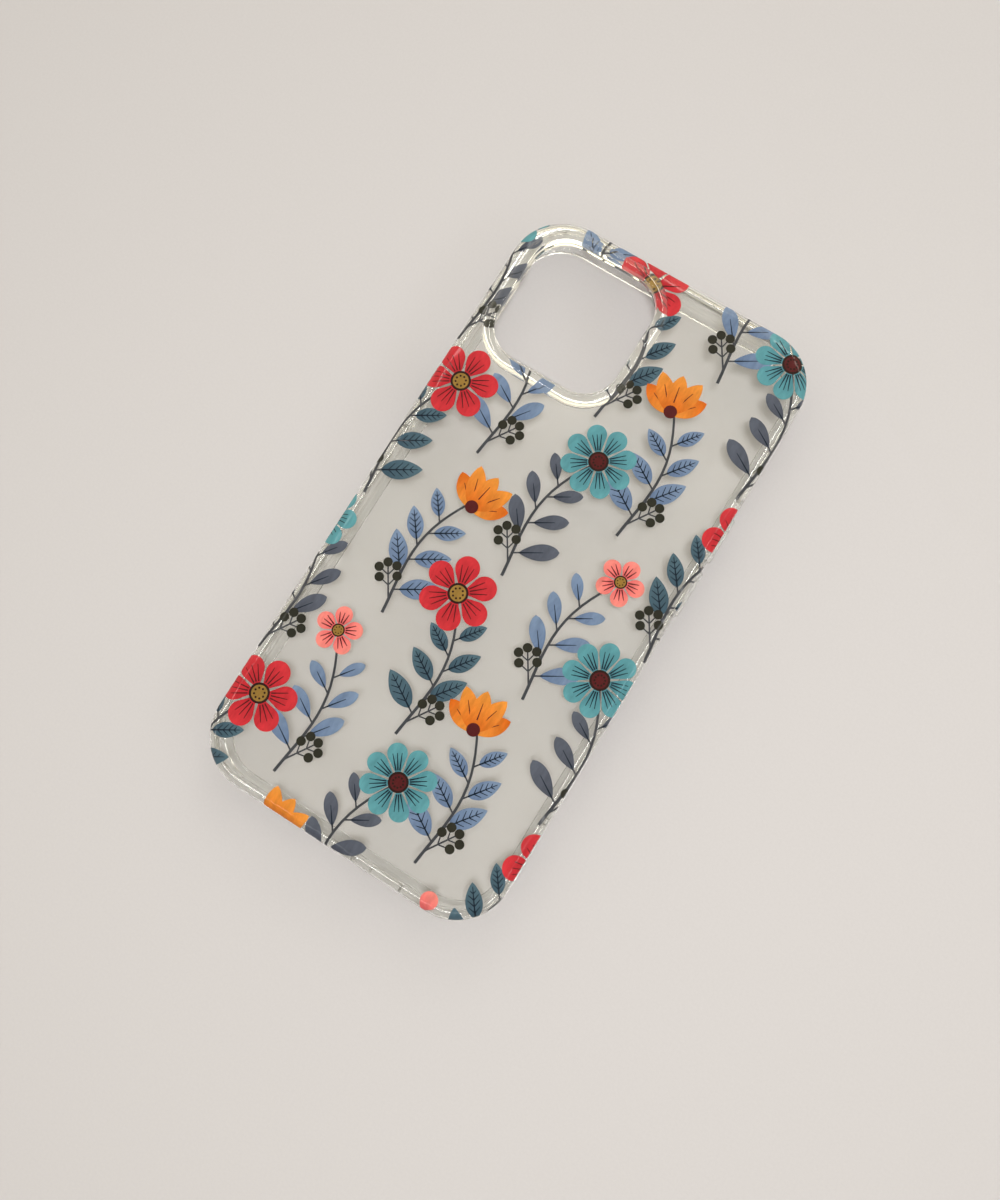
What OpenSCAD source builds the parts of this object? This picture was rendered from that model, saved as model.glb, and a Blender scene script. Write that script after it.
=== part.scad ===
// Clear hybrid phone case, lying on its screen side with the back upwards.
// Origin: middle of the front rim's resting plane. +Z points out of the back, +Y to the camera end.

/* [Phone] */
// Width of the phone that the case holds
phone_w = 71.5; // [64:0.1:80]
// Length of the phone
phone_l = 146.7; // [138:0.1:168]
// Thickness of the phone's body, without its camera bump
phone_t = 7.8; // [7.4:0.1:9]
// Radius of the phone's corners in plan
phone_corner_r = 10.8; // [9:0.1:11.4]
// Clearance between the phone and the pocket wall
phone_gap = 0.2; // [0.2:0.05:0.4]

/* [Shell] */
// Thickness of the bumper's side wall
wall = 2.1; // [1.9:0.1:2.2]
// Height of the front lip, which keeps the screen off a table
lip_h = 1.3; // [1:0.1:2]
// How far the front lip reaches in over the screen
lip_reach = 1; // [0.6:0.1:1.4]
// Radius of the bumper's outer front edge
front_edge_r = 1.2; // [0.6:0.1:1.2]
// Radius of the lip's inner front edge
lip_edge_r = 0.4; // [0.2:0.1:0.4]

/* [Back] */
// Thickness of the rigid back plate
plate_t = 1.1; // [1.1:0.1:1.6]
// Thickness of the printed film
film_t = 0.2; // [0.1:0.05:0.2]
// How much farther in than the wall the back's rounded edge reaches
edge_inset = 0.1; // [0.05:0.05:0.1]
// Height of the tongue that joins the bumper to the plate
tongue_h = 0.6; // [0.4:0.1:0.6]
// Width of that tongue
tongue_w = 0.6; // [0.4:0.1:0.8]
// Clearance round the tongue in its groove
groove_gap = 0.05; // [0.02:0.01:0.1]

/* [Camera opening] */
// Width of the opening in the back
camera_w = 31.4; // [26:0.1:32.4]
// Length of the opening in the back
camera_l = 31.7; // [26:0.1:31.7]
// Radius of the opening's corners
camera_corner_r = 8.6; // [8:0.1:12]
// Distance from the phone's side to the middle of the opening
camera_from_side = 19.15; // [19.15:0.05:24]
// Distance from the phone's camera end to the middle of the opening
camera_from_top = 18.75; // [18.75:0.05:24]
// Height of the guard ring above the back
guard_h = 2; // [2:0.1:3]
// Width of the guard ring's flat top
guard_land = 1.1; // [0.8:0.1:1.1]
// Radius of the guard ring's rounded outer side
guard_round_r = 1.9; // [1.2:0.1:1.9]
// Radius of the guard ring's inner top edge
guard_edge_r = 0.3; // [0.2:0.1:0.4]

/* [Buttons] */
// Length of each volume button
volume_l = 11.8; // [8:0.1:12]
// Distance from the phone's camera end to the middle of the volume up button
volume_up_from_top = 45.2; // [44.4:0.1:45.4]
// Distance from the phone's camera end to the middle of the volume down button
volume_down_from_top = 59.4; // [59.3:0.1:64]
// Length of the side button
side_l = 17.6; // [12:0.1:20]
// Distance from the phone's camera end to the middle of the side button
side_from_top = 50.6; // [46:0.1:56]
// Height of a button's outer pad
button_h = 3.4; // [2.6:0.1:3.4]
// How far a button stands out of the wall
button_proud = 0.7; // [0.6:0.1:1]
// Clearance round a button in its window
button_gap = 0.2; // [0.15:0.05:0.2]
// How far the flange reaches past the pad on every side
flange_reach = 0.7; // [0.5:0.1:0.7]
// Thickness of the flange behind the wall
flange_t = 0.5; // [0.4:0.1:0.5]
// Depth of the recess that holds the flange
recess_d = 1; // [1:0.1:1.2]
// Gap between the flange and the recess floor at rest
flange_gap = 0.05; // [0.03:0.01:0.1]

/* [Openings] */
// Length of the mute switch opening
mute_l = 9; // [6:0.1:10]
// Height of the mute switch opening
mute_h = 4.6; // [4.2:0.1:5]
// Distance from the phone's camera end to the middle of the mute switch opening
mute_from_top = 31.4; // [30:0.1:32]
// Width of the charging port opening
port_w = 12.4; // [10:0.1:14]
// Height of the charging port opening
port_h = 5; // [4.2:0.1:5]
// Width of each speaker slot
speaker_w = 8.4; // [6:0.1:9]
// Height of each speaker slot
speaker_h = 2.8; // [2:0.1:3]
// Distance from the case's middle to the middle of a speaker slot
speaker_x = 14; // [13:0.1:16]

/* [Lanyard holes] */
// Radius of each lanyard hole
lanyard_r = 0.9; // [0.6:0.1:1.2]
// Distance between the two holes
lanyard_pitch = 5.2; // [4:0.1:7]
// Middle of the pair, measured from the case's middle towards the charging end
lanyard_y = 48.4; // [44:0.1:50]

/* [Hidden] */
$fn = 96;

cut = 1; // how far a cutting shape runs past the face it cuts

pocket_w = phone_w + 2 * phone_gap;
pocket_l = phone_l + 2 * phone_gap;
pocket_r = phone_corner_r + phone_gap;
phone_top_y = phone_l / 2;

seat_z = lip_h + phone_t; // the plate's inner face, where the phone's back lies
film_z = seat_z + plate_t;
back_z = film_z + film_t; // outer face of the back
mid_z = lip_h + phone_t / 2; // half the phone's thickness: buttons and openings sit here
back_edge_r = wall + edge_inset; // radius of the back's rounded outer edge, over the film
edge_z = back_z - back_edge_r; // where the back's rounding starts and the bumper ends
camera_x = camera_from_side - phone_w / 2;
camera_y = phone_l / 2 - camera_from_top;

tongue_mid = wall / 2 - 0.1; // keeps the groove clear of the plate's rounded edge

clear_tint = [0.86, 0.9, 0.93, 0.45];
soft_tint = [0.8, 0.84, 0.88, 0.5];
print_tint = [0.36, 0.47, 0.58, 0.6];

// Plan outline of the pocket, made larger by grow on every side
module plan(w, l, r, grow = 0) {
    half_w = w / 2 - r;
    half_l = l / 2 - r;
    square([2 * half_w, l + 2 * grow], center = true);
    square([w + 2 * grow, 2 * half_l], center = true);
    for (sx = [-1, 1], sy = [-1, 1])
        translate([sx * half_w, sy * half_l]) circle(r = r + grow);
}

// Runs a section once round a rounded rectangle. The section's x is measured outwards
// from the w by l outline, and its y is height.
module run_round(w, l, r) {
    half_w = w / 2 - r;
    half_l = l / 2 - r;
    corners = [[half_w, half_l], [-half_w, half_l], [-half_w, -half_l], [half_w, -half_l]];
    for (i = [0:3])
        translate(corners[i]) rotate(90 * i)
            rotate_extrude(angle = 90) translate([r, 0]) children();
    for (i = [0:3]) {
        run = i % 2 == 0 ? 2 * half_l : 2 * half_w;
        translate(corners[i]) rotate(90 * i) translate([r, 0, 0])
            rotate([90, 0, 0]) linear_extrude(run) children();
    }
}

// Runs a section round the phone pocket
module run_round_pocket() {
    run_round(pocket_w, pocket_l, pocket_r) children();
}

// Quarter of a disc with its square corner at the origin
module quarter_disc(r) {
    intersection() {
        circle(r = r);
        square(r);
    }
}

// A slot with round ends, through a side wall along X
module slot_x(len, high, deep) {
    rotate([90, 0, 90]) linear_extrude(deep) {
        square([len - high, high], center = true);
        for (s = [-1, 1]) translate([s * (len - high) / 2, 0]) circle(d = high);
    }
}

// Section of the bumper: lip, wall and tongue
module bumper_section() {
    difference() {
        union() {
            translate([-lip_reach, 0]) square([lip_reach + wall, lip_h]);
            square([wall, edge_z]);
            translate([tongue_mid - tongue_w / 2, 0]) square([tongue_w, edge_z + tongue_h]);
        }
        translate([wall - front_edge_r, front_edge_r]) edge_waste(front_edge_r, 1);
        translate([lip_edge_r - lip_reach, lip_edge_r]) edge_waste(lip_edge_r, -1);
    }
}

// What is cut away to round a lower edge, on the right (side 1) or on the left (side -1)
module edge_waste(r, side) {
    scale([side, -1]) difference() {
        square(r + cut);
        circle(r = r);
        translate([-cut, -cut]) square([r + cut, cut]);
    }
}

// Window and flange recess of one button, through the wall at +X
module button_window(len, y) {
    inner = pocket_w / 2;
    window_h = button_h + 2 * button_gap;
    window_l = len + 2 * button_gap;
    reach = 2 * flange_reach;
    translate([inner - cut, y, mid_z]) slot_x(window_l, window_h, wall + 2 * cut);
    translate([inner - cut, y, mid_z]) slot_x(window_l + reach, window_h + reach, recess_d + cut);
}

// One button at +X: outer pad, stem and the flange that keeps it in the wall
module button(len, y) {
    shoulder = pocket_w / 2 + recess_d - flange_gap;
    pad_out = pocket_w / 2 + wall + button_proud;
    reach = 2 * flange_reach;
    crown = 0.3; // step round the pad's outer face
    translate([shoulder - flange_t, y, mid_z])
        slot_x(len + reach - 2 * button_gap, button_h + reach - 2 * button_gap, flange_t);
    translate([shoulder - flange_t, y, mid_z])
        slot_x(len, button_h, pad_out - crown - shoulder + flange_t);
    translate([shoulder, y, mid_z]) slot_x(len - 2 * crown, button_h - 2 * crown, pad_out - shoulder);
}

module bumper_frame() color(soft_tint) {
    outer = pocket_l / 2 + wall;
    difference() {
        run_round_pocket() bumper_section();
        button_window(volume_l, phone_top_y - volume_up_from_top);
        button_window(volume_l, phone_top_y - volume_down_from_top);
        mirror([1, 0, 0]) button_window(side_l, phone_top_y - side_from_top);
        translate([pocket_w / 2 - cut, phone_top_y - mute_from_top, mid_z])
            slot_x(mute_l, mute_h, wall + 2 * cut);
        translate([0, -outer - cut, mid_z]) rotate(90) slot_x(port_w, port_h, wall + 2 * cut);
        for (s = [-1, 1])
            translate([s * speaker_x, -outer - cut, mid_z])
                rotate(90) slot_x(speaker_w, speaker_h, wall + 2 * cut);
        for (s = [-1, 1])
            translate([pocket_w / 2 - cut, s * lanyard_pitch / 2 - lanyard_y, mid_z])
                rotate([0, 90, 0]) cylinder(r = lanyard_r, h = wall + 2 * cut);
    }
}

// The camera opening as a cutting shape
module camera_hole() {
    translate([camera_x, camera_y, seat_z - cut])
        linear_extrude(back_z - seat_z + 2 * cut) plan(camera_w, camera_l, camera_corner_r);
}

module back_plate() color(clear_tint) difference() {
    union() {
        translate([0, 0, seat_z]) linear_extrude(plate_t) plan(pocket_w, pocket_l, pocket_r, -edge_inset);
        run_round_pocket() plate_rim_section();
    }
    camera_hole();
}

// Section of the plate's rim: rounded edge, skirt and groove
module plate_rim_section() {
    groove_w = tongue_w + 2 * groove_gap;
    difference() {
        union() {
            translate([-edge_inset, edge_z]) quarter_disc(back_edge_r - film_t);
            translate([-edge_inset, seat_z]) square([edge_inset, plate_t]);
        }
        translate([-edge_inset - cut, edge_z - cut]) square([cut + edge_inset, seat_z - edge_z + cut]);
        translate([tongue_mid - groove_w / 2, edge_z - cut])
            square([groove_w, cut + tongue_h + groove_gap]);
    }
}

module printed_film() color(print_tint) difference() {
    union() {
        translate([0, 0, film_z]) linear_extrude(film_t) plan(pocket_w, pocket_l, pocket_r, -edge_inset);
        run_round_pocket() translate([-edge_inset, edge_z]) difference() {
            quarter_disc(back_edge_r);
            circle(r = back_edge_r - film_t);
        }
    }
    camera_hole();
}

module camera_guard() color(clear_tint) translate([camera_x, camera_y, back_z])
    run_round(camera_w, camera_l, camera_corner_r) guard_section();

// Section of the guard ring: flat land, rounded outer side, eased inner edge
module guard_section() {
    square([guard_edge_r, guard_h - guard_edge_r]);
    translate([guard_edge_r, 0]) square([guard_land - guard_edge_r, guard_h]);
    translate([guard_edge_r, guard_h - guard_edge_r]) mirror([1, 0]) quarter_disc(guard_edge_r);
    translate([guard_land, 0]) square([guard_round_r, guard_h - guard_round_r]);
    translate([guard_land, guard_h - guard_round_r]) quarter_disc(guard_round_r);
}

module volume_up_button() color(soft_tint) button(volume_l, phone_top_y - volume_up_from_top);
module volume_down_button() color(soft_tint) button(volume_l, phone_top_y - volume_down_from_top);
module side_button() color(soft_tint)
    mirror([1, 0, 0]) button(side_l, phone_top_y - side_from_top);

bumper_frame();
back_plate();
printed_film();
camera_guard();
volume_up_button();
volume_down_button();
side_button();
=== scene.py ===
import cmath
import math

import bmesh
import bpy
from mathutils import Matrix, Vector
from mathutils.geometry import delaunay_2d_cdt


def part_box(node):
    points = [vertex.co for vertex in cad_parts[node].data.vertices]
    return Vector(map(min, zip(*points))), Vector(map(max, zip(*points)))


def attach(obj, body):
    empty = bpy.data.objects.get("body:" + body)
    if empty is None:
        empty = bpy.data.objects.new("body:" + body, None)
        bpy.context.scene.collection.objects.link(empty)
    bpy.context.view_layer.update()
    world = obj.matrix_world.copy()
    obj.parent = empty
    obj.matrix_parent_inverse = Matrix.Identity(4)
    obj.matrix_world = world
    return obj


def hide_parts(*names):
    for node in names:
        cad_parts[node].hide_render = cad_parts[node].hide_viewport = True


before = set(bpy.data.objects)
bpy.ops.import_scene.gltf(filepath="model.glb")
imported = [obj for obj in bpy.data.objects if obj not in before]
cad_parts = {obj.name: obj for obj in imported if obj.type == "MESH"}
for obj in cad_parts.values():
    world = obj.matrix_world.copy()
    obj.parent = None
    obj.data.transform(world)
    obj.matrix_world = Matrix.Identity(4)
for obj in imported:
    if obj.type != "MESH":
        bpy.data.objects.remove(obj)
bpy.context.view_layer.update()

# A clear phone case with a floral print on its back, lying screen side down. Print outlines are
# complex numbers in millimetres: the real part is x, the imaginary part is y, which points to
# the camera end. The print is a generic repeat: sprays of a flower, leaves and berries in a grid.

MM = 0.001

# ---------------------------------------------------------------- sizes from the frame, mm

CORNER_R = 13.1        # outer corner radius of the case in plan
GUARD_REACH = 3.0      # from the camera opening's edge to the guard ring's foot
OPENING_R = 8.6        # corner radius of the camera opening
PRINT_INSET = 0.25     # the print stops this far inside the case's outline
JOIN_GAP = 0.01        # clearance between bonded clear pieces, so that no two faces coincide
RIM_UNPRINTED = 3.6    # an ink area wholly within this of either end of the back is left off

film_low, film_high = (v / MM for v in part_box("printed_film"))
guard_low, guard_high = (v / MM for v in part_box("camera_guard"))
HALF_W = film_high.x
HALF_L = film_high.y
BACK_Z = film_high.z
EDGE_R = film_high.z - film_low.z
OPENING_AT = (guard_low + guard_high) / 2
OPENING_HALF_W = (guard_high.x - guard_low.x) / 2 - GUARD_REACH
OPENING_HALF_L = (guard_high.y - guard_low.y) / 2 - GUARD_REACH


def beyond(x, y, half_w, half_l, r):
    """Distance from a point to a rounded rectangle about the origin; negative inside it."""
    dx = abs(x) - half_w + r
    dy = abs(y) - half_l + r
    return math.hypot(max(dx, 0), max(dy, 0)) + min(max(dx, dy), 0) - r


def beyond_flat(p):
    """How far a point lies outside the flat part of the back."""
    return beyond(p.real, p.imag, HALF_W - EDGE_R, HALF_L - EDGE_R, CORNER_R - EDGE_R)


def beyond_opening(p):
    """How far a point lies outside the camera opening."""
    return beyond(p.real - OPENING_AT.x, p.imag - OPENING_AT.y,
                  OPENING_HALF_W, OPENING_HALF_L, OPENING_R)


def back_height(p):
    """Height of the back's outer face, which curves down round its edge."""
    over = min(max(beyond_flat(p), 0), EDGE_R)
    return BACK_Z - EDGE_R + math.sqrt(EDGE_R ** 2 - over ** 2)


def rounded_rectangle(centre, half_w, half_l, r, steps=12):
    """Outline of a rounded rectangle, counter-clockwise."""
    points = []
    for i in range(4):
        sx = 1 if i in (0, 3) else -1
        sy = 1 if i in (0, 1) else -1
        middle = centre + complex(sx * (half_w - r), sy * (half_l - r))
        for k in range(steps + 1):
            points.append(middle + cmath.rect(r, math.pi / 2 * (i + k / steps)))
    return points


# ---------------------------------------------------------------- colours

def linear(colour):
    """Linear red, green and blue of an sRGB colour given as 0 to 255."""
    def one(c):
        c /= 255
        return c / 12.92 if c <= 0.04045 else ((c + 0.055) / 1.055) ** 2.4
    return tuple(one(c) for c in colour)


SLATE = (58, 82, 98)
SLATE_PALE = (78, 104, 118)
DUSK = (70, 75, 88)
DUSK_PALE = (88, 94, 108)
SKY = (97, 118, 152)
SKY_PALE = (119, 140, 170)
TEAL = (64, 122, 136)
TEAL_PALE = (92, 154, 164)
RED = (176, 28, 42)
RED_PALE = (200, 50, 58)
ORANGE = (206, 96, 16)
AMBER = (226, 146, 58)
PINK = (222, 92, 98)
PINK_PALE = (236, 138, 128)
OLIVE = (146, 114, 52)
MAROON = (82, 24, 26)
NIGHT = (18, 30, 44)
BROWN = (44, 22, 18)
STEM = (64, 66, 72)
BERRY = (42, 42, 34)


# ---------------------------------------------------------------- outlines

def stroke(points, start_w, end_w):
    """Outline of a line whose width runs from start_w to end_w."""
    n = len(points)
    left, right = [], []
    for i, p in enumerate(points):
        along = points[min(i + 1, n - 1)] - points[max(i - 1, 0)]
        side = 1j * along / abs(along)
        half = (start_w + (end_w - start_w) * i / (n - 1)) / 2
        left.append(p + side * half)
        right.append(p - side * half)
    return right + left[::-1]


def disc(centre, r, steps=28):
    """Outline of a disc."""
    return [centre + cmath.rect(r, 2 * math.pi * k / steps) for k in range(steps)]


def blade(base, tip, width, belly=0.85, point=0.8, steps=14):
    """Outline of a pointed leaf or petal. belly moves its widest place and point sharpens its ends."""
    along = tip - base
    across = 1j * along / abs(along) * width / 2
    inner = [k / steps for k in range(1, steps)]
    bulge = [math.sin(math.pi * t ** belly) ** point for t in inner]
    right = [base + along * t - across * b for t, b in zip(inner, bulge)]
    left = [base + along * t + across * b for t, b in zip(inner, bulge)]
    return [base] + right + [tip] + left[::-1]


def drop(base, tip, r, steps=16):
    """Outline of a petal that widens from its base to a round end of radius r."""
    along = (tip - base) / abs(tip - base)
    middle = tip - along * r
    sweep = math.pi / 2 + math.asin(r / abs(middle - base))
    return [base] + [middle + along * cmath.rect(r, sweep * (2 * k / steps - 1))
                     for k in range(steps + 1)]


# ---------------------------------------------------------------- inks

PRINT_END = HALF_L - RIM_UNPRINTED
LOWEST = {"stems": 0, "leaves": 2, "berries": 5, "flowers": 8}    # each group's lowest layer
INKS = {group: [] for group in LOWEST}


def ink(group, outline, colour, level, end_colour=None, start=0j, end=1 + 0j):
    """Adds one printed area. Its colour runs from colour at start to end_colour at end. level
    counts up from the group's lowest layer, and areas that overlap have levels of their own."""
    low = min(p.imag for p in outline)
    high = max(p.imag for p in outline)
    if low < PRINT_END and high > -PRINT_END:
        INKS[group].append((outline, linear(colour), linear(end_colour or colour),
                            start, end, LOWEST[group] + level))


def heading(degrees):
    """Unit step in a direction, which turns another step when multiplied with it."""
    return cmath.rect(1, math.radians(degrees))


# ---------------------------------------------------------------- motifs

VEINED_LEAF = (9.6, 4.6)      # length and width at full size
ROUND_LEAF = (9.2, 3.9)
VEIN_PAIRS = 4
BERRY_STALK = 9.4
BERRY_R = 1.2
BERRY_FORKS = (3.6, 6.2)      # places along the stalk where side stalks leave it
SIDE_STALK = 3.1


def veined_leaf(base, along, size, dark, pale):
    """Pointed leaf with a midrib and evenly spaced side veins."""
    length, width = (v * size for v in VEINED_LEAF)
    tip = base + along * length
    ink("leaves", blade(base, tip, width), dark, 0, pale, base, tip)
    ink("leaves", stroke([base, base + along * length * 0.88], 0.38, 0.16), NIGHT, 2)
    for k in range(VEIN_PAIRS):
        t = 0.18 + 0.17 * k
        foot = base + along * length * t
        reach = width * 0.36 * math.sin(math.pi * (t + 0.12) ** 0.85)
        for side in (1, -1):
            slant = along * complex(1, side)
            vein = [foot + slant * 0.1, foot + slant * reach]
            ink("leaves", stroke(vein, 0.24, 0.14), NIGHT, 1)


def round_leaf(base, along, size, dark, pale):
    """Leaf with a narrow base, a round end and a short midrib."""
    length, width = (v * size for v in ROUND_LEAF)
    tip = base + along * length
    ink("leaves", blade(base, tip, width, 1.25, 0.62), dark, 0, pale, base, tip)
    ink("leaves", stroke([base, base + along * length * 0.6], 0.34, 0.12), NIGHT, 2)


def open_flower(centre, along, petals, reach, colours, line, eye):
    """Flower seen from above: equal petals that just clear each other, round a dotted disc."""
    spread = 0.94 * math.sin(math.pi / petals)
    r = reach * spread / (1 + spread)
    disc_r = reach * 0.27
    for k in range(petals):
        away = along * heading(360 * k / petals)
        foot, tip = centre + away * reach * 0.1, centre + away * reach
        ink("flowers", drop(foot, tip, r), colours[0], 0, colours[1], foot, tip)
        for turn in (-75, 0, 75):
            ray = away * heading(turn / petals) * reach
            ink("flowers", stroke([centre + ray * 0.3, centre + ray * 0.74], 0.34, 0.16), line, 1)
    ink("flowers", disc(centre, disc_r), BROWN, 2)
    ink("flowers", disc(centre, disc_r * 0.78), eye, 3)
    for k in range(petals + 2):
        at = centre + along * heading(360 * k / (petals + 2)) * disc_r * 0.5
        ink("flowers", disc(at, disc_r * 0.11, 8), BROWN, 4)


def cup_flower(base, along, size, colours):
    """Flower seen from the side: a fan of pointed petals on a round calyx."""
    fan = ((-54, 0.86), (54, 0.86), (-28, 1), (28, 1), (0, 0.94))
    for order, (degrees, reach) in enumerate(fan):
        petal = along * heading(degrees) * size * reach
        inner, outer = colours if order > 1 else colours[::-1]
        ink("flowers", blade(base, base + petal, size * 0.42, 1.05, 0.72), inner, 2 * order, outer,
            base, base + petal)
        ink("flowers", stroke([base + petal * 0.3, base + petal * 0.7], 0.3, 0.14), MAROON,
            2 * order + 1)
    ink("flowers", disc(base + along * size * 0.06, size * 0.15, 18), MAROON, 10)


def berries(root, along, size):
    """Round berries in pairs along a stalk, with one at its end."""
    top = root + along * BERRY_STALK * size
    ink("berries", stroke([root, top], 0.42, 0.32), STEM, 1)
    ink("berries", disc(top, BERRY_R * size, 18), BERRY, 2)
    for t in BERRY_FORKS:
        fork = root + along * t * size
        for side in (1, -1):
            at = fork + along * heading(46 * side) * SIDE_STALK * size
            ink("berries", stroke([fork + (at - fork) * 0.07, at], 0.32, 0.28), STEM, 0)
            ink("berries", disc(at, BERRY_R * size, 18), BERRY, 2)


# ---------------------------------------------------------------- print layout

COLUMN_STEP = 18.4     # between columns of sprays; every other one is shifted by half a row
ROW_STEP = 42.0
SPRAY_L = 29.0         # a spray's stem
SPRAY_BOW = 3.2        # how far its stem bows sideways
SPRAY_LEAN = 11.0      # degrees off the case's length, to either side in turn
SPRAY_LEAVES = 6
LEAF_TURN = 48         # degrees between a leaf and its stem
BERRY_TURN = 44        # degrees between the berries' stalk and the stem


def teal_head(at, along):
    open_flower(at, along, 8, 8.6, (TEAL, TEAL_PALE), NIGHT, MAROON)


def red_head(at, along):
    open_flower(at, along, 6, 8.8, (RED, RED_PALE), MAROON, OLIVE)


def orange_head(at, along):
    cup_flower(at - along * 3.4, along, 10.2, (ORANGE, AMBER))


def pink_head(at, along):
    open_flower(at, along, 5, 5.6, (PINK, PINK_PALE), MAROON, OLIVE)


# each kind of spray: its flower, its leaf and the leaf's two colours
SPRAYS = [(teal_head, round_leaf, (DUSK, DUSK_PALE)), (orange_head, veined_leaf, (SKY, SKY_PALE)),
          (red_head, veined_leaf, (SLATE, SLATE_PALE)), (pink_head, round_leaf, (SKY, SKY_PALE))]


def spray(root, lean, kind):
    """A bowed stem with leaves on both sides in turn, berries below and a flower at its end."""
    head, leaf, leaf_colours = SPRAYS[kind]
    along = heading(90 + lean)
    side = 1 if lean > 0 else -1

    def on(t):
        return root + along * complex(t * SPRAY_L, -side * SPRAY_BOW * math.sin(math.pi * t))

    ink("stems", stroke([on(k / 12) for k in range(-2, 13)], 0.7, 0.5), STEM, 1)
    berries(on(-0.06), along * heading(-BERRY_TURN * side), 0.9)
    for k in range(SPRAY_LEAVES):
        foot = on(0.02 + 0.125 * k)
        away = along * heading(LEAF_TURN * side * (-1) ** k)
        ink("stems", stroke([foot, foot + away * 1.6], 0.4, 0.34), STEM, 0)
        leaf(foot + away * 1.4, away, 1 - 0.06 * k, *leaf_colours)
    head(on(1), along)


def draw_print():
    """Half-drop rows of sprays, each kind of flower in its turn."""
    for column in range(-2, 3):
        for row in range(-3, 3):
            shift = ROW_STEP / 2 if column % 2 else 0
            root = complex(column * COLUMN_STEP, row * ROW_STEP + shift)
            lean = SPRAY_LEAN if (column + row) % 2 else -SPRAY_LEAN
            spray(root, lean, (column + 2 * row) % 4)


# ---------------------------------------------------------------- print meshes

LEVEL_H = 0.006        # height of one layer of ink
INK_ROOT = 0.02        # how far the ink's underside lies within the clear film
EDGE_RINGS = (0.0, 0.7, 1.2, 1.55, 1.8, EDGE_R - PRINT_INSET)


def edge_lines():
    """Rings that follow the back's rounded edge, and the camera opening's outline."""
    rings = [rounded_rectangle(0j, HALF_W - EDGE_R + d, HALF_L - EDGE_R + d, CORNER_R - EDGE_R + d, 24)
             for d in EDGE_RINGS]
    rings.append(rounded_rectangle(complex(OPENING_AT.x, OPENING_AT.y), OPENING_HALF_W + PRINT_INSET,
                                   OPENING_HALF_L + PRINT_INSET, OPENING_R + PRINT_INSET, 24))
    return rings


def inside(p, outline):
    """Whether a point lies within an outline."""
    hit = False
    for a, b in zip(outline, outline[1:] + outline[:1]):
        if (a.imag > p.imag) != (b.imag > p.imag):
            if p.real < a.real + (p.imag - a.imag) * (b.real - a.real) / (b.imag - a.imag):
                hit = not hit
    return hit


def printable(p):
    """Whether a point lies on the back, clear of its outer edge and of the camera opening."""
    return beyond_flat(p) < EDGE_R - PRINT_INSET and beyond_opening(p) > PRINT_INSET


def near_box(ring, outline, margin=0.3):
    """The ring's segments that come near the outline's box."""
    low = complex(min(p.real for p in outline) - margin, min(p.imag for p in outline) - margin)
    high = complex(max(p.real for p in outline) + margin, max(p.imag for p in outline) + margin)
    for a, b in zip(ring, ring[1:] + ring[:1]):
        if (max(a.real, b.real) > low.real and min(a.real, b.real) < high.real
                and max(a.imag, b.imag) > low.imag and min(a.imag, b.imag) < high.imag):
            yield a, b


def clipped_faces(outline, rings):
    """Points and triangles of the part of an outline that lies on the back."""
    points = list(outline)
    n = len(points)
    edges = [(k, (k + 1) % n) for k in range(n)]
    for ring in rings:
        for a, b in near_box(ring, outline):
            edges.append((len(points), len(points) + 1))
            points += [a, b]
    verts, _, faces, *_ = delaunay_2d_cdt([Vector((p.real, p.imag)) for p in points], edges, [], 0, 1e-5)
    spots = [complex(*v) for v in verts]
    kept = []
    for face in faces:
        middle = sum(spots[i] for i in face) / len(face)
        if inside(middle, outline) and printable(middle):
            kept.append(list(face))
    return spots, kept


def add_ink(bm, layer, area, rings):
    """Adds one printed area to a mesh as a thin closed slab that follows the back."""
    outline, colour, end_colour, start, end, level = area
    turn = sum((b - a).real * (b + a).imag for a, b in zip(outline, outline[1:] + outline[:1]))
    if turn > 0:
        outline = outline[::-1]
    if all(beyond_flat(p) < 0 and beyond_opening(p) > PRINT_INSET for p in outline):
        spots, faces = outline, [list(range(len(outline)))]
    else:
        spots, faces = clipped_faces(outline, rings)
    axis = end - start
    sides = {}
    for face in faces:
        for a, b in zip(face, face[1:] + face[:1]):
            if (b, a) in sides:
                del sides[(b, a)]
            else:
                sides[(a, b)] = True
    top, low = {}, {}
    for i in sorted({i for face in faces for i in face}):
        p = spots[i]
        z = back_height(p)
        t = min(max(((p - start) * axis.conjugate()).real / abs(axis) ** 2, 0), 1)
        shade = [c + (d - c) * t for c, d in zip(colour, end_colour)] + [1]
        top[i] = bm.verts.new(Vector((p.real, p.imag, z + LEVEL_H * (level + 1))) * MM)
        low[i] = bm.verts.new(Vector((p.real, p.imag, z - INK_ROOT)) * MM)
        top[i][layer] = low[i][layer] = shade
    for face in faces:
        bm.faces.new([top[i] for i in face])
        bm.faces.new([low[i] for i in reversed(face)])
    for a, b in sides:
        bm.faces.new([low[a], low[b], top[b], top[a]])


def print_piece(group, mat):
    """One piece of the print, made of all the printed areas in a group."""
    rings = edge_lines()
    bm = bmesh.new()
    layer = bm.verts.layers.float_color.new("ink")
    for area in INKS[group]:
        add_ink(bm, layer, area, rings)
    return make_piece("print_" + group, bm, mat)


# ---------------------------------------------------------------- pieces

def make_piece(name, bm, mat, body="case"):
    """Turns a mesh into a named piece that rides a body."""
    mesh = bpy.data.meshes.new(name)
    bm.to_mesh(mesh)
    bm.free()
    for face in mesh.polygons:
        face.use_smooth = True
    mesh.set_sharp_from_angle(angle=math.radians(35))
    mesh.materials.append(mat)
    piece = bpy.data.objects.new(name, mesh)
    bpy.context.scene.collection.objects.link(piece)
    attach(piece, body)
    return piece


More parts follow.
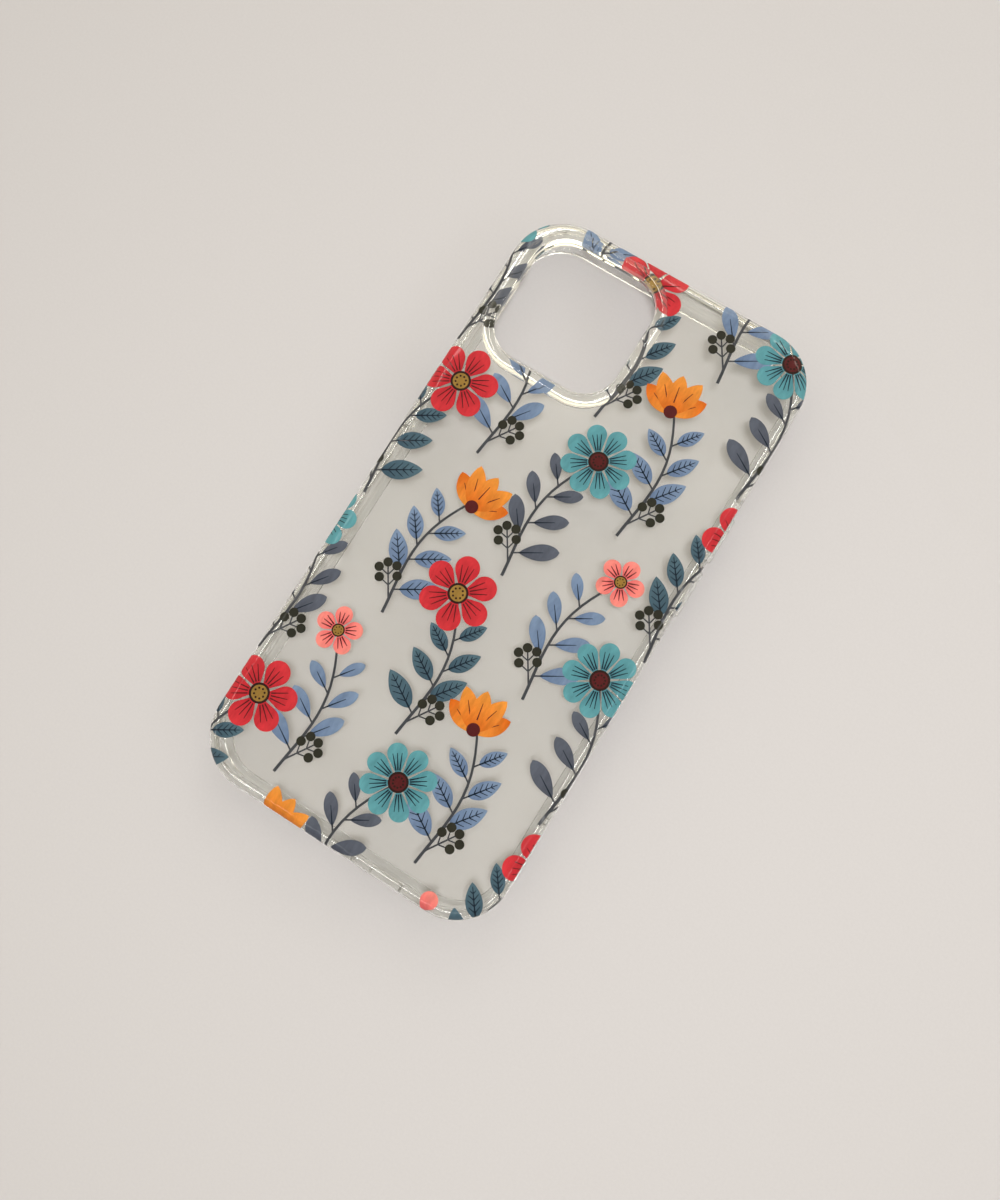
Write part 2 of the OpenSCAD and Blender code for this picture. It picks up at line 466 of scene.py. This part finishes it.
def eased_copy(name, node, mat, body="case", inset=0.0, ease=0.0):
    """A copy of a CAD piece with eased edges, drawn in by inset on every face."""
    bm = bmesh.new()
    bm.from_mesh(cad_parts[node].data)
    bmesh.ops.remove_doubles(bm, verts=bm.verts, dist=0.0005 * MM)
    bmesh.ops.dissolve_limit(bm, angle_limit=math.radians(0.5), verts=bm.verts, edges=bm.edges)
    bm.normal_update()
    if inset:
        moves = [v.normal * inset * MM for v in bm.verts]
        for v, move in zip(bm.verts, moves):
            v.co -= move
    piece = make_piece(name, bm, mat, body)
    if ease:
        bevel = piece.modifiers.new("eased edges", "BEVEL")
        bevel.width = ease * MM
        bevel.segments = 2
        bevel.limit_method = "ANGLE"
        bevel.angle_limit = math.radians(35)
        bevel.harden_normals = True
    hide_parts(node)
    return piece


# ---------------------------------------------------------------- materials

def nodes_of(name):
    """A new material, its node tree and its main shader."""
    mat = bpy.data.materials.new(name)
    mat.use_nodes = True
    tree = mat.node_tree
    return mat, tree, tree.nodes["Principled BSDF"]


def add(tree, kind, **values):
    """A new node with some of its settings and inputs given."""
    node = tree.nodes.new(kind)
    for key, value in values.items():
        if hasattr(node, key):
            setattr(node, key, value)
        else:
            node.inputs[key.replace("_", " ")].default_value = value
    return node


def clear_plastic(name, tint, rough, wave_h, clearness, shade=1.0):
    """Clear plastic: glass that lets the lamps light what lies under it. shade is the share of
    that light that passes each of its surfaces."""
    mat, tree, body = nodes_of(name)
    link = tree.links.new
    body.inputs["Base Color"].default_value = (*tint, 1)
    body.inputs["Transmission Weight"].default_value = clearness
    body.inputs["IOR"].default_value = 1.5
    where = add(tree, "ShaderNodeTexCoord")
    smear = add(tree, "ShaderNodeTexNoise", Scale=90.0, Detail=4.0)
    link(where.outputs["Object"], smear.inputs["Vector"])
    gloss = add(tree, "ShaderNodeMapRange")
    gloss.inputs["To Min"].default_value = rough * 0.6
    gloss.inputs["To Max"].default_value = rough * 1.6
    link(smear.outputs["Fac"], gloss.inputs["Value"])
    link(gloss.outputs["Result"], body.inputs["Roughness"])
    ripple = add(tree, "ShaderNodeTexNoise", Scale=220.0, Detail=2.0)
    link(where.outputs["Object"], ripple.inputs["Vector"])
    bump = add(tree, "ShaderNodeBump", Strength=0.25, Distance=wave_h * MM)
    link(ripple.outputs["Fac"], bump.inputs["Height"])
    link(bump.outputs["Normal"], body.inputs["Normal"])
    see = add(tree, "ShaderNodeBsdfTransparent", Color=(shade, shade, shade, 1))
    path = add(tree, "ShaderNodeLightPath")
    shader = body.outputs["BSDF"]
    for ray in ("Is Diffuse Ray", "Is Shadow Ray"):
        mix = add(tree, "ShaderNodeMixShader")
        link(path.outputs[ray], mix.inputs["Fac"])
        link(shader, mix.inputs[1])
        link(see.outputs["BSDF"], mix.inputs[2])
        shader = mix.outputs["Shader"]
    link(shader, tree.nodes["Material Output"].inputs["Surface"])
    return mat


def print_ink():
    """Glossy ink: its colour is the print's own, with the uneven tone of brush strokes."""
    mat, tree, body = nodes_of("print_ink")
    link = tree.links.new
    paint = add(tree, "ShaderNodeVertexColor", layer_name="ink")
    where = add(tree, "ShaderNodeTexCoord")
    stretch = add(tree, "ShaderNodeMapping", Scale=(1.0, 0.35, 1.0), Rotation=(0, 0, 0.6))
    link(where.outputs["Object"], stretch.inputs["Vector"])
    strokes = add(tree, "ShaderNodeTexNoise", Scale=900.0, Detail=5.0, Roughness=0.6)
    link(stretch.outputs["Vector"], strokes.inputs["Vector"])
    tone = add(tree, "ShaderNodeMapRange")
    tone.inputs["From Min"].default_value = 0.3
    tone.inputs["From Max"].default_value = 0.7
    tone.inputs["To Min"].default_value = 0.84
    tone.inputs["To Max"].default_value = 1.16
    link(strokes.outputs["Fac"], tone.inputs["Value"])
    shade = add(tree, "ShaderNodeVectorMath", operation="SCALE")
    link(paint.outputs["Color"], shade.inputs[0])
    link(tone.outputs["Result"], shade.inputs["Scale"])
    link(shade.outputs["Vector"], body.inputs["Base Color"])
    body.inputs["Roughness"].default_value = 0.5
    body.inputs["Specular IOR Level"].default_value = 0.06
    body.inputs["Coat Weight"].default_value = 0.25
    body.inputs["Coat Roughness"].default_value = 0.06
    grain = add(tree, "ShaderNodeTexNoise", Scale=5000.0, Detail=2.0)
    link(where.outputs["Object"], grain.inputs["Vector"])
    bump = add(tree, "ShaderNodeBump", Strength=0.15, Distance=0.01 * MM)
    link(grain.outputs["Fac"], bump.inputs["Height"])
    link(bump.outputs["Normal"], body.inputs["Normal"])
    return mat


def floor_material():
    """Pale matt floor with a faint grain."""
    mat, tree, body = nodes_of("floor")
    link = tree.links.new
    where = add(tree, "ShaderNodeTexCoord")
    grain = add(tree, "ShaderNodeTexNoise", Scale=1600.0, Detail=3.0)
    link(where.outputs["Object"], grain.inputs["Vector"])
    tint = add(tree, "ShaderNodeMix", data_type="RGBA")
    tint.inputs["A"].default_value = (0.625, 0.615, 0.64, 1)
    tint.inputs["B"].default_value = (0.665, 0.655, 0.68, 1)
    link(grain.outputs["Fac"], tint.inputs["Factor"])
    link(tint.outputs["Result"], body.inputs["Base Color"])
    body.inputs["Roughness"].default_value = 0.85
    body.inputs["Specular IOR Level"].default_value = 0.2
    return mat


# ---------------------------------------------------------------- stage

def floor():
    """A wide floor, just below the case."""
    size = 8.0
    mesh = bpy.data.meshes.new("floor")
    mesh.from_pydata([(-size, -size, 0), (size, -size, 0), (size, size, 0), (-size, size, 0)],
                     [], [(0, 1, 2, 3)])
    mesh.materials.append(floor_material())
    ground = bpy.data.objects.new("floor", mesh)
    ground.location.z = -0.02 * MM
    bpy.context.scene.collection.objects.link(ground)


def softbox(name, at, size, watts, colour=(1, 1, 1), soft=False):
    """A rectangular lamp aimed at the case. A soft one only lights matt surfaces, and the others
    only show as streaks in gloss and in clear plastic."""
    lamp = bpy.data.lights.new(name, "AREA")
    lamp.shape = "RECTANGLE"
    lamp.size, lamp.size_y = size
    lamp.energy = watts
    lamp.color = colour
    holder = bpy.data.objects.new(name, lamp)
    holder.location = at
    holder.rotation_euler = (-Vector(at)).to_track_quat("-Z", "Y").to_euler()
    holder.visible_diffuse = soft
    holder.visible_glossy = not soft
    holder.visible_transmission = not soft
    bpy.context.scene.collection.objects.link(holder)


def lights():
    """Soft lamps for the print and floor, streak lamps for the plastic, and a pale studio world."""
    softbox("key", (0.06, -0.04, 0.5), (0.1, 0.1), 1.1, (1, 0.985, 0.96), soft=True)
    softbox("fill", (-0.25, 0.95, 0.55), (0.5, 0.3), 1.4, (1, 0.98, 0.94), soft=True)
    softbox("fill_right", (0.95, 0.1, 0.6), (0.9, 0.25), 1.4, (0.93, 0.96, 1.0), soft=True)
    softbox("strip_right", (0.42, 0.12, 1.0), (1.2, 0.06), 4.0)
    softbox("strip_left", (-0.5, 0.12, 1.0), (1.2, 0.06), 3.5, (1, 0.98, 0.94))
    softbox("strip_camera_end", (-0.04, 0.72, 1.0), (0.8, 0.07), 3.0, (1, 0.96, 0.85))
    softbox("strip_port_end", (-0.04, -0.62, 1.0), (0.8, 0.06), 3.0)
    softbox("glow", (-0.24, 0.92, 0.78), (1.2, 0.3), 3.5, (1, 0.9, 0.58))
    world = bpy.data.worlds.new("studio")
    world.use_nodes = True
    tree = world.node_tree
    link = tree.links.new
    sky = tree.nodes["Background"]
    where = add(tree, "ShaderNodeTexCoord")
    split = add(tree, "ShaderNodeSeparateXYZ")
    link(where.outputs["Generated"], split.inputs["Vector"])
    height = add(tree, "ShaderNodeValToRGB")
    walls = height.color_ramp.elements
    walls[0].color = (1.2, 1.2, 1.22, 1)
    walls[1].color = (0.4, 0.4, 0.4, 1)
    walls.new(0.3).color = (1.0, 1.0, 1.0, 1)
    walls.new(0.75).color = (0.6, 0.6, 0.6, 1)
    walls.new(0.93).color = (0.4, 0.4, 0.4, 1)
    link(split.outputs["Z"], height.inputs["Fac"])
    side = add(tree, "ShaderNodeVectorMath", operation="DOT_PRODUCT")
    side.inputs[1].default_value = (-0.35, 0.94, 0)
    link(where.outputs["Generated"], side.inputs[0])
    warmth = add(tree, "ShaderNodeValToRGB")
    warmth.color_ramp.elements[0].color = (0.6, 0.56, 0.55, 1)
    warmth.color_ramp.elements[1].color = (2.7, 2.48, 1.98, 1)
    span = add(tree, "ShaderNodeMapRange")
    span.inputs["From Min"].default_value = -1
    link(side.outputs["Value"], span.inputs["Value"])
    link(span.outputs["Result"], warmth.inputs["Fac"])
    tone = add(tree, "ShaderNodeVectorMath", operation="MULTIPLY")
    link(height.outputs["Color"], tone.inputs[0])
    link(warmth.outputs["Color"], tone.inputs[1])
    link(tone.outputs["Vector"], sky.inputs["Color"])
    sky.inputs["Strength"].default_value = 0.56
    bpy.context.scene.world = world
    bpy.context.scene.view_settings.view_transform = "Standard"


def camera():
    """The photograph's viewpoint: nearly overhead, with the case turned 32 degrees."""
    lens = bpy.data.cameras.new("camera")
    lens.sensor_fit = "HORIZONTAL"
    lens.sensor_width = 36
    lens.lens = 36
    lens.clip_start = 10 * MM
    holder = bpy.data.objects.new("camera", lens)
    holder.location = Vector((27.6, -30.1, 230.3)) * MM
    holder.rotation_euler = [math.radians(a) for a in (7.77, 2.6, 31.92)]
    bpy.context.scene.collection.objects.link(holder)
    bpy.context.scene.camera = holder


# ---------------------------------------------------------------- build

soft_clear = clear_plastic("soft_clear", (0.97, 0.98, 0.985), 0.05, 0.012, 0.94, 0.84)
hard_clear = clear_plastic("hard_clear", (0.993, 0.995, 0.975), 0.02, 0.003, 0.99)
button_clear = clear_plastic("button_clear", (0.96, 0.97, 0.98), 0.12, 0.012, 0.84, 0.84)
inks = print_ink()

eased_copy("bumper_shell", "bumper_frame", soft_clear, inset=JOIN_GAP, ease=0.12)
eased_copy("print_carrier_film", "printed_film", hard_clear, inset=JOIN_GAP)
for body in ("volume_up", "volume_down", "side"):
    eased_copy(body + "_pad", body + "_button", button_clear, body, ease=0.14)
for node in ("back_plate", "camera_guard"):
    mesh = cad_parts[node].data
    mesh.materials.clear()
    mesh.materials.append(hard_clear)

draw_print()
for group in INKS:
    print_piece(group, inks)

floor()
lights()
camera()
